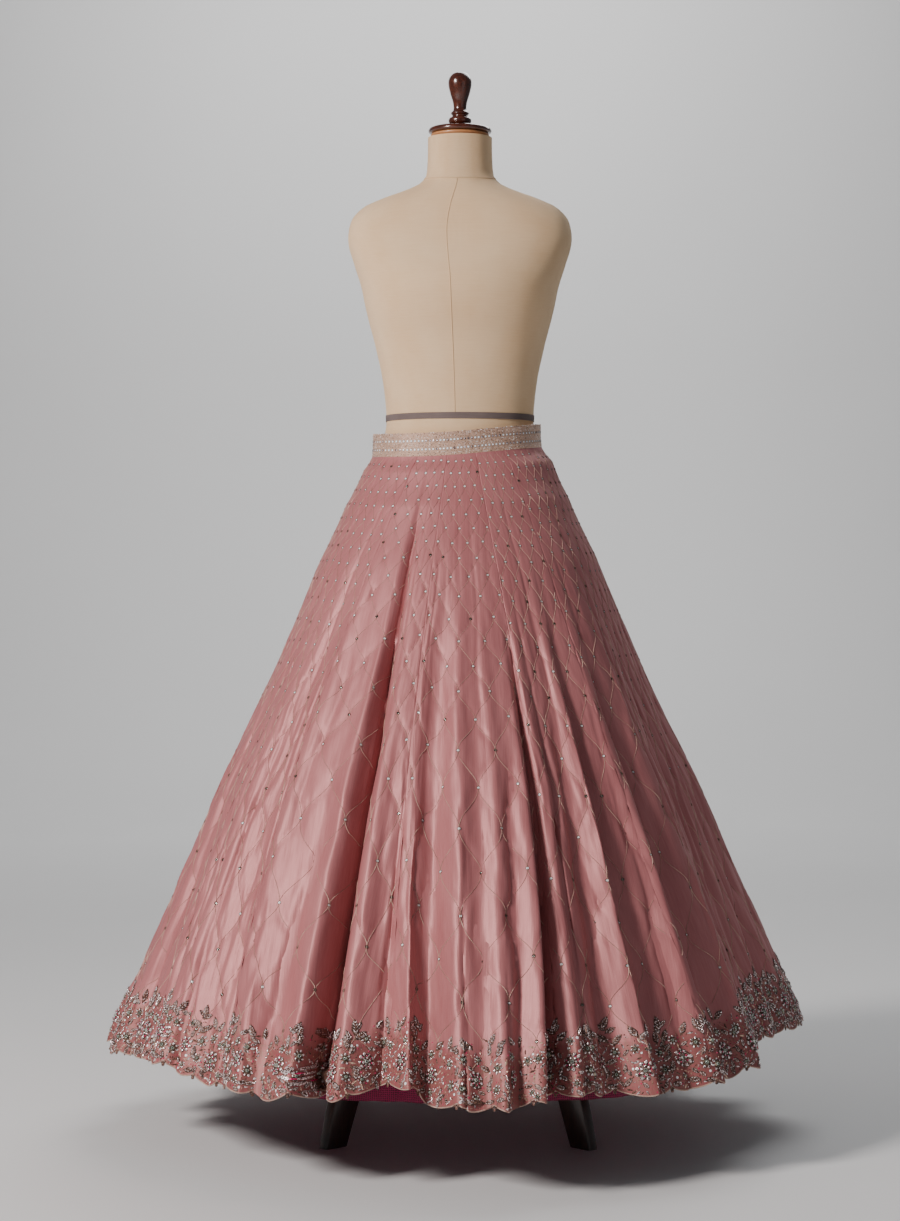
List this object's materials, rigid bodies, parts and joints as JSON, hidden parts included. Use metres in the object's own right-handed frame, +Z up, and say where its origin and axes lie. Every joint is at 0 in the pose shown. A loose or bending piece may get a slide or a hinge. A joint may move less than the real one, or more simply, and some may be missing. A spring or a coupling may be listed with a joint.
{
  "type": "lehenga skirt on a dress form",
  "caption": "Full-length flared lehenga skirt with a beaded waistband, embroidered scalloped hem and net underskirt, worn by a limbless dress form on a wooden stand.",
  "frame": {"origin": "on the floor, under the middle of the whole model's box", "axes": "+Z up, -Y towards the front of the skirt, +X to the right of someone who faces its front"},
  "size_m": [1.152, 1.1992, 1.7228],
  "materials": {
    "pink_silk": "dusty pink satin-faced silk with a soft sheen",
    "beaded_band": "band covered with silver and rose beads and round sequins",
    "magenta_net": "stiff magenta net, matt",
    "cream_linen": "cream linen cover, matt",
    "grey_tape": "grey-brown cotton tape, matt",
    "pale_wood": "pale orange wood, satin varnish",
    "mahogany": "red-brown wood, high gloss varnish",
    "dark_wood": "very dark wood, satin varnish"
  },
  "bodies": {
    "root": {"waistband": "beaded_band", "kali_01": "pink_silk", "kali_02": "pink_silk", "kali_03": "pink_silk", "kali_04": "pink_silk", "kali_05": "pink_silk", "kali_06": "pink_silk", "kali_07": "pink_silk", "kali_08": "pink_silk", "kali_09": "pink_silk", "kali_10": "pink_silk", "kali_11": "pink_silk", "kali_12": "pink_silk", "kali_13": "pink_silk", "kali_14": "pink_silk", "net_underskirt": "magenta_net", "form_torso": "cream_linen", "form_waist_tape": "grey_tape", "neck_ring": "pale_wood", "neck_cap": "mahogany", "finial": "mahogany", "stand_pole": "dark_wood", "stand_hub": "dark_wood", "stand_leg_1": "dark_wood", "stand_leg_2": "dark_wood", "stand_leg_3": "dark_wood", "stand_leg_4": "dark_wood"}
  },
  "joints": []
}
